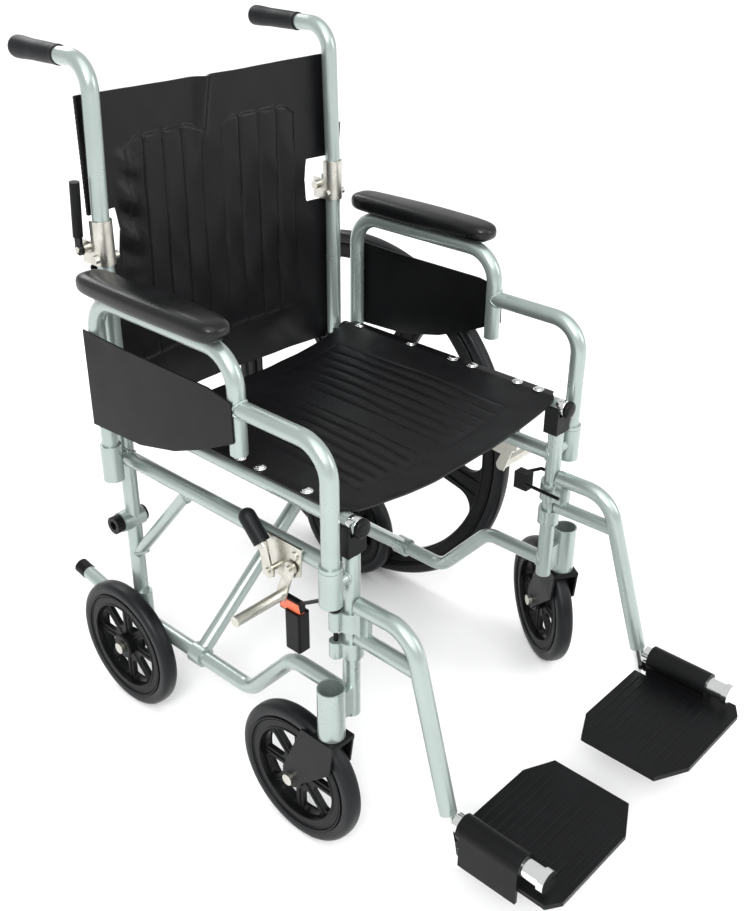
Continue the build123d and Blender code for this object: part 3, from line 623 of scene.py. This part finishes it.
# --- rubber and wheels -----------------------------------------------------------------
class CHAIR_OT_grips(bpy.types.Operator):
    """Push grips"""
    bl_idname = "chair.grips"
    bl_label = "Grips"

    def execute(self, context):
        for _, name in SIDES:
            low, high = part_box(f"{name}_grip")
            low, high = (low - ORIGIN) / MM, (high - ORIGIN) / MM
            centre = (low + high) / 2
            span = high.y - low.y
            # radius along the grip: a small collar, a slight swell, a bulb and a domed end
            d = np.linspace(0, 1, 120)
            r = 12.1 + 0.5 * np.exp(-((d - 0.035) / 0.03) ** 2) + 0.6 * np.sin(pi * d)
            r = r + 1.7 * smoothstep(d, 0.55, 0.92)
            end = np.clip((d - 0.93) / 0.07, 0, 1)
            r = r * np.sqrt(np.clip(1 - 0.72 * end**2.6, 0, 1))
            profile = np.stack([d * span, np.minimum(r, 14.0)], -1)
            profile = np.vstack([[0.0, 11.2], profile, [span, 3.0]])
            grip = turned(f"{name}_push_grip", (centre.x, low.y, centre.z), (0, 1, 0), profile)
            dressed(grip, f"{name}_back", "rubber", grip_rubber(), f"{name}_grip")
        return {"FINISHED"}


def tyre_section(radius, inner, width, crown):
    """Closed tyre section, a superellipse: width*cos^0.72 along the axis, height*sin^crown outwards."""
    t = np.linspace(0, 2 * pi, 44, endpoint=False)
    half, middle, tall = width / 2, (radius + inner) / 2, (radius - inner) / 2
    along = half * np.sign(np.cos(t)) * np.abs(np.cos(t)) ** 0.72
    up = tall * np.sign(np.sin(t)) * np.abs(np.sin(t)) ** crown
    return np.stack([along, middle + up], -1)


def wheel_places():
    """Name, body, centre, axis and tyre node of each small wheel."""
    for _, name in SIDES:
        for kind in ("transit", "caster"):
            joint = next(j for j in frame["joints"] if j["name"] == f"{name}_{kind}_spin")
            centre = (Vector(joint["pos_m"]) - ORIGIN) / MM
            axis = Vector(joint["axis"])
            yield f"{name}_{kind}", f"{name}_{kind}_wheel_body", centre, axis, f"{name}_{kind}_tyre"


class CHAIR_OT_tyres(bpy.types.Operator):
    """Tyres with rounded crowns and a moulding line down each wall"""
    bl_idname = "chair.tyres"
    bl_label = "Tyres"

    def execute(self, context):
        made = [(*place, *SMALL_WHEEL) for place in wheel_places()]
        joint = next(j for j in frame["joints"] if j["name"] == "large_wheel_spin")
        centre = (Vector(joint["pos_m"]) - ORIGIN) / MM
        axis = Vector(joint["axis"])
        made.append(("large", "large_wheel_body", centre, axis, "large_wheel_tyre", *LARGE_WHEEL))
        for name, body, centre, axis, node, radius, inner, width in made:
            steps = 200 if radius > 200 else 112
            rings = [hoop(f"{name}_carcass", centre, axis, tyre_section(radius, inner, width, 0.8), steps)]
            t = np.linspace(0, 2 * pi, 8, endpoint=False)
            for way in (-1, 1):
                for r, fat in ((radius - 6.5, 0.5), (inner + 2.0, 0.9)):
                    x = way * (width / 2 - 0.35 if r < radius - 7 else width / 2 - 1.6)
                    line = np.stack([x + fat * np.cos(t), r + fat * np.sin(t)], -1)
                    rings.append(hoop(f"{name}_line", centre, axis, line, steps))
            dressed(join(f"{name}_tyre_skin", rings), body, "tyre", tyre_rubber(), node)
        return {"FINISHED"}


def spoke_rib(name, centre, axis, angle, start, stop, wide, tall, face):
    """Raised rib along a spoke: height tall*(1 - c^2) across and fading at both ends."""
    centre, axis = np.array(centre, float), np.array(axis, float)
    up = np.array([0.0, 0.0, 1.0])
    side = np.cross(up, axis)
    side /= np.linalg.norm(side)
    out = side * cos(angle) + up * sin(angle)
    across = np.cross(axis, out)
    d = np.linspace(0, 1, 26)
    t = np.linspace(0, 2 * pi, 14, endpoint=False)
    D, T = np.meshgrid(d, t, indexing="ij")
    fade = np.clip(1 - (2 * D - 1) ** 6, 0.02, 1) ** 0.5
    w = wide * (0.65 + 0.35 * np.abs(2 * D - 1) ** 2) * fade
    h = tall * fade
    grid = (
        centre
        + (start + (stop - start) * D)[..., None] * out
        + (w * np.cos(T))[..., None] * across
        + (face + h * np.sin(T))[..., None] * axis
    )
    return outward(skin(name, grid, caps=True))


class CHAIR_OT_wheel_ribs(bpy.types.Operator):
    """Ribs, hub rings and rim beads moulded on the wheels"""
    bl_idname = "chair.wheel_ribs"
    bl_label = "Wheel ribs"

    def execute(self, context):
        t = np.linspace(0, 2 * pi, 10, endpoint=False)
        for name, body, centre, axis, _ in wheel_places():
            made = []
            for way in (-1, 1):
                for k in range(8):
                    made.append(spoke_rib("rib", centre, axis, 2 * pi * k / 8, 17, 66, 2.6, 2.2, way * 3.4))
                for r, fat, x in ((67.5, 1.6, 10.6), (18.0, 1.3, 12.6), (78.4, 1.1, 10.8)):
                    line = np.stack([way * x + fat * np.cos(t), r + fat * np.sin(t)], -1)
                    made.append(hoop("ring", centre, axis, line, 96))
                made.append(turned("cap", np.array(centre) + way * 13.0 * np.array(axis), way * axis,
                                   [[0, 12], [1.2, 12], [1.9, 11.2], [1.9, 9.0]], 32))
            dressed(join(f"{name}_wheel_ribs", made), body, "wheel_plastic", plastic())
        joint = next(j for j in frame["joints"] if j["name"] == "large_wheel_spin")
        centre, axis = (Vector(joint["pos_m"]) - ORIGIN) / MM, Vector(joint["axis"])
        made = []
        for way in (-1, 1):
            for k in range(5):
                a = radians(FIRST_SPOKE) + 2 * pi * k / 5
                for shift in (-0.052, 0.052):
                    made.append(spoke_rib("rib", centre, axis, a + shift, 40, 262, 3.4, 3.2, way * 4.4))
            for r, fat, x in ((266.0, 2.0, 10.4), (281.5, 1.4, 10.8), (35.0, 2.2, 22.0)):
                line = np.stack([way * x + fat * np.cos(t), r + fat * np.sin(t)], -1)
                made.append(hoop("ring", centre, axis, line, 180))
        dressed(join("large_wheel_ribs", made), "large_wheel_body", "wheel_plastic", plastic())
        return {"FINISHED"}


# --- welds, screws and small fittings --------------------------------------------------
def weld(centre, main, branch, main_r, branch_r, seed):
    """Bead where a branch tube meets a main tube: p = b*branch_r*(cos, sin) + sqrt(R^2 - s^2)."""
    main = np.array(main, float) / np.linalg.norm(main)
    branch = np.array(branch, float) / np.linalg.norm(branch)
    across = np.cross(branch, main)
    across /= np.linalg.norm(across)
    along = np.cross(across, branch)
    t = np.linspace(0, 2 * pi, 120, endpoint=False)
    r = min(branch_r, main_r - 0.05)
    lean = float(np.dot(main, branch))
    depth = np.sqrt(np.clip(main_r**2 - (r * np.sin(t)) ** 2, 0, None)) / max(np.sqrt(1 - lean**2), 0.3)
    depth = depth - r * np.cos(t) * lean / max(np.sqrt(1 - lean**2), 0.3)
    path = (
        np.array(centre, float)
        + (r * np.cos(t))[:, None] * along
        + (r * np.sin(t))[:, None] * across
        + depth[:, None] * branch
    )
    radius = sizes().weld_radius / MM * (1 + 0.22 * np.sin(t * 34 + seed) + 0.12 * np.sin(t * 5 + seed))
    return bead("bead", path, radius, closed=True, steps=8)


class CHAIR_OT_welds(bpy.types.Operator):
    """Weld beads round the joints of the frame and armrests"""
    bl_idname = "chair.welds"
    bl_label = "Welds"

    def execute(self, context):
        for side, name in SIDES:
            x = side * HALF
            up = (0, 0, 1)
            frame_beads = [
                weld((x, 0, UPPER_RAIL), up, (0, 1, 0), TUBE, RAIL, 1),
                weld((x, BACK, UPPER_RAIL), up, (0, -1, 0), TUBE, RAIL, 2),
                weld((x, 0, FRONT_RAIL), up, (0, 1, 0), TUBE, RAIL, 3),
                weld((x, BACK, REAR_RAIL), up, (0, -1, 0), TUBE, RAIL, 4),
                weld((x, BACK, 243), up, (0, -136, 162), TUBE, BRACE, 5),
                weld((x, 292, UPPER_RAIL), (0, 1, 0), (0, 136, -162), TUBE, BRACE, 6),
                weld((x, 0, 410), up, (side, 0, 0), TUBE, LUG, 7),
                weld((x, BACK, 417), up, (side * 35, -17, 0), TUBE, LUG, 8),
            ]
            dressed(join(f"{name}_frame_welds", frame_beads), f"{name}_frame", "frame_paint", weld_paint())
            arm_x = side * 241
            arm_beads = [weld((arm_x, 146, 588), up, (0, -1, 0), TUBE, RAIL, 9)]
            dressed(join(f"{name}_arm_welds", arm_beads), f"{name}_armrest", "frame_paint", weld_paint())
        return {"FINISHED"}


def dome(centre, radius, height, direction=(0, 0, 1), steps=28):
    """Pan head: a short wall, then a quarter ellipse."""
    t = np.linspace(0, pi / 2, 9)
    profile = [[-0.4, radius * 0.98], [0.3 * height, radius]]
    profile += [[0.3 * height + 0.7 * height * sin(a), radius * cos(a)] for a in t[1:-1]]
    profile.append([height, radius * 0.06])
    return turned("dome", centre, direction, profile, steps)


class CHAIR_OT_fittings(bpy.types.Operator):
    """Seat screws, rail ferrules and plugs and the footrest latch tab"""
    bl_idname = "chair.fittings"
    bl_label = "Small fittings"

    def execute(self, context):
        for side, name in SIDES:
            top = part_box(f"{name}_seat_rail_fittings")[1].z / MM
            body = "brace_a" if side > 0 else "brace_b"
            heads = []
            for y in SEAT_SCREWS:
                heads.append(dome((side * HALF, y, top - 2.3), 6.0, 3.2))
                cup = [[0, 8.2], [0.7, 8.0], [1.2, 6.4]]
                heads.append(turned("cup", (side * HALF, y, top - 2.6), (0, 0, 1), cup, 28))
            for y, way in ((-14.0, -1), (402.0, 1)):
                heads.append(turned("ferrule", (side * HALF, y - way * 14, SEAT_RAIL), (0, way, 0),
                                    [[0, 11.1], [0.4, 11.45], [13.2, 11.45], [13.8, 11.1]], 48))
            dressed(join(f"{name}_seat_screws", heads), body, "zinc", chrome(), f"{name}_seat_rail_fittings")
            plugs = [
                turned("plug", (side * HALF, y, SEAT_RAIL), (0, way, 0),
                       [[0, 11.4], [0.5, 12.2], [4.5, 12.0], [6.6, 10.4], [7.6, 7.0], [7.9, 2.0]], 40)
                for y, way in ((-14.0, -1), (402.0, 1))
            ]
            dressed(join(f"{name}_rail_plugs", plugs), body, "black_plastic", plastic())
        # latch tab: rounded rectangles, each a little smaller than the one below
        tab = np.linspace(0, 1, 16)
        t = np.linspace(0, 2 * pi, 40, endpoint=False)
        D, T = np.meshgrid(tab, t, indexing="ij")
        reach_y = 20 - 4 * D
        c, s = np.cos(T), np.sin(T)
        x = -HALF + 5 + (5.6 - 0.8 * D) * np.sign(c) * np.abs(c) ** 0.4
        y = 107 + reach_y * np.sign(s) * np.abs(s) ** 0.4
        z = 303 + 15 * D
        piece = outward(skin("latch_tab", np.stack([x, y, z], -1), caps=True))
        dressed(piece, "right_latch", "black_plastic", tab_plastic())
        return {"FINISHED"}


class CHAIR_OT_treads(bpy.types.Operator):
    """Moulded ribs on top of the footplates"""
    bl_idname = "chair.treads"
    bl_label = "Footplate treads"

    def execute(self, context):
        for side, name in SIDES:
            ribs = []
            for k in range(13):
                y = -184 - k * 11.2
                u = np.linspace(0, 1, 40)
                inner = 52 if 0 < k < 12 else 78
                x = side * (inner + (190 - inner) * u)
                path = np.stack([x, np.full_like(u, y), np.full_like(u, PLATE_TOP)], -1)
                ribs.append(bead("rib", path, 1.25 * np.clip(1 - (2 * u - 1) ** 14, 0.05, 1), steps=8))
            dressed(join(f"{name}_footplate_tread", ribs), f"{name}_plate", "black_plastic", plastic())
        return {"FINISHED"}


# --- stage -----------------------------------------------------------------------------
CAMERA_PLACE = (-995.8, -751.9, 1163.0)
CAMERA_TURN = (47.79, 28.68, 0.49)      # to the right of +Y, down, roll; degrees
FOCAL_RATIO = 1136.45 / 750              # focal length over picture width
FLOOR_HALF = 60.0                        # metres
FLOOR_HEIGHT = -0.0005                   # just under the tyres


def area_light(name, place, target, size, power, colour=(1, 1, 1)):
    data = bpy.data.lights.new(name, "AREA")
    data.shape = "RECTANGLE"
    data.size, data.size_y = size
    data.energy = power
    data.color = colour
    lamp = bpy.data.objects.new(name, data)
    lamp.location = place
    lamp.rotation_euler = (Vector(target) - Vector(place)).to_track_quat("-Z", "Y").to_euler()
    bpy.context.scene.collection.objects.link(lamp)
    return lamp


class CHAIR_OT_stage(bpy.types.Operator):
    """Pale floor, soft studio lights and the camera"""
    bl_idname = "chair.stage"
    bl_label = "Stage"

    def execute(self, context):
        scene = context.scene
        yaw, pitch, roll = (radians(a) for a in CAMERA_TURN)
        ahead = np.array([sin(yaw) * cos(pitch), cos(yaw) * cos(pitch), -sin(pitch)])
        right = np.array([cos(yaw), -sin(yaw), 0.0])
        above = np.cross(right, ahead)
        right2 = cos(roll) * right + sin(roll) * above
        above2 = -sin(roll) * right + cos(roll) * above
        data = bpy.data.cameras.new("view")
        data.sensor_fit = "HORIZONTAL"
        data.sensor_width = 36
        data.lens = FOCAL_RATIO * data.sensor_width
        camera = bpy.data.objects.new("view", data)
        turn = np.eye(4)
        turn[:3, :3] = np.stack([right2, above2, -ahead], -1)
        turn[:3, 3] = to_row(CAMERA_PLACE)
        camera.matrix_world = Matrix(turn.tolist())
        scene.collection.objects.link(camera)
        scene.camera = camera
        floor_mesh = bpy.data.meshes.new("floor")
        r, z = FLOOR_HALF, FLOOR_HEIGHT
        corners = [(-r, -r, z), (r, -r, z), (r, r, z), (-r, r, z)]
        floor_mesh.from_pydata(corners, [], [(0, 1, 2, 3)])
        floor = bpy.data.objects.new("floor", floor_mesh)
        scene.collection.objects.link(floor)
        pale = bpy.data.materials.new("pale_floor")
        pale.use_nodes = True
        pale.node_tree.nodes["Principled BSDF"].inputs["Base Color"].default_value = (0.93, 0.93, 0.93, 1)
        pale.node_tree.nodes["Principled BSDF"].inputs["Roughness"].default_value = 0.9
        floor_mesh.materials.append(pale)
        world = bpy.data.worlds.new("studio")
        world.use_nodes = True
        world.node_tree.nodes["Background"].inputs["Color"].default_value = (1, 1, 1, 1)
        world.node_tree.nodes["Background"].inputs["Strength"].default_value = 0.8
        scene.world = world
        scene.view_settings.view_transform = "Standard"
        data = bpy.data.lights.new("sky", "SUN")
        data.energy = 1.7
        data.angle = radians(70)
        sky = bpy.data.objects.new("sky", data)
        sky.rotation_euler = (radians(28), radians(-16), 0)
        scene.collection.objects.link(sky)
        area_light("key", (-2.2, -1.6, 2.6), (0, 0, 0.5), (1.0, 1.0), 60)
        area_light("fill", (1.8, -2.6, 1.8), (0, 0, 0.5), (1.6, 1.6), 26)
        area_light("rim", (0.5, 2.6, 2.4), (0, 0, 0.5), (1.4, 1.0), 26)
        return {"FINISHED"}


class CHAIR_PT_panel(bpy.types.Panel):
    """Lists the chair's pieces, sizes and colours"""
    bl_idname = "CHAIR_PT_panel"
    bl_label = "Wheelchair"
    bl_space_type = "VIEW_3D"
    bl_region_type = "UI"
    bl_category = "Wheelchair"

    def draw(self, context):
        for settings in (context.scene.chair_sizes, context.scene.chair_colours):
            for key in settings.bl_rna.properties.keys():
                if key not in ("rna_type", "name"):
                    self.layout.prop(settings, key)
        for piece in OPERATORS:
            self.layout.operator(piece.bl_idname)


OPERATORS = (
    CHAIR_OT_finishes, CHAIR_OT_seat, CHAIR_OT_back, CHAIR_OT_arm_pads, CHAIR_OT_grips, CHAIR_OT_tyres,
    CHAIR_OT_wheel_ribs, CHAIR_OT_welds, CHAIR_OT_fittings, CHAIR_OT_treads, CHAIR_OT_stage,
)
CLASSES = (ChairSizes, ChairColours, *OPERATORS, CHAIR_PT_panel)


def register():
    for made in CLASSES:
        bpy.utils.register_class(made)
    bpy.types.Scene.chair_sizes = bpy.props.PointerProperty(type=ChairSizes)
    bpy.types.Scene.chair_colours = bpy.props.PointerProperty(type=ChairColours)


def unregister():
    del bpy.types.Scene.chair_sizes
    del bpy.types.Scene.chair_colours
    for made in reversed(CLASSES):
        bpy.utils.unregister_class(made)


def main():
    register()
    for made in OPERATORS:
        family, action = made.bl_idname.split(".")
        getattr(getattr(bpy.ops, family), action)()
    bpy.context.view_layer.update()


if __name__ == "__main__":
    main()
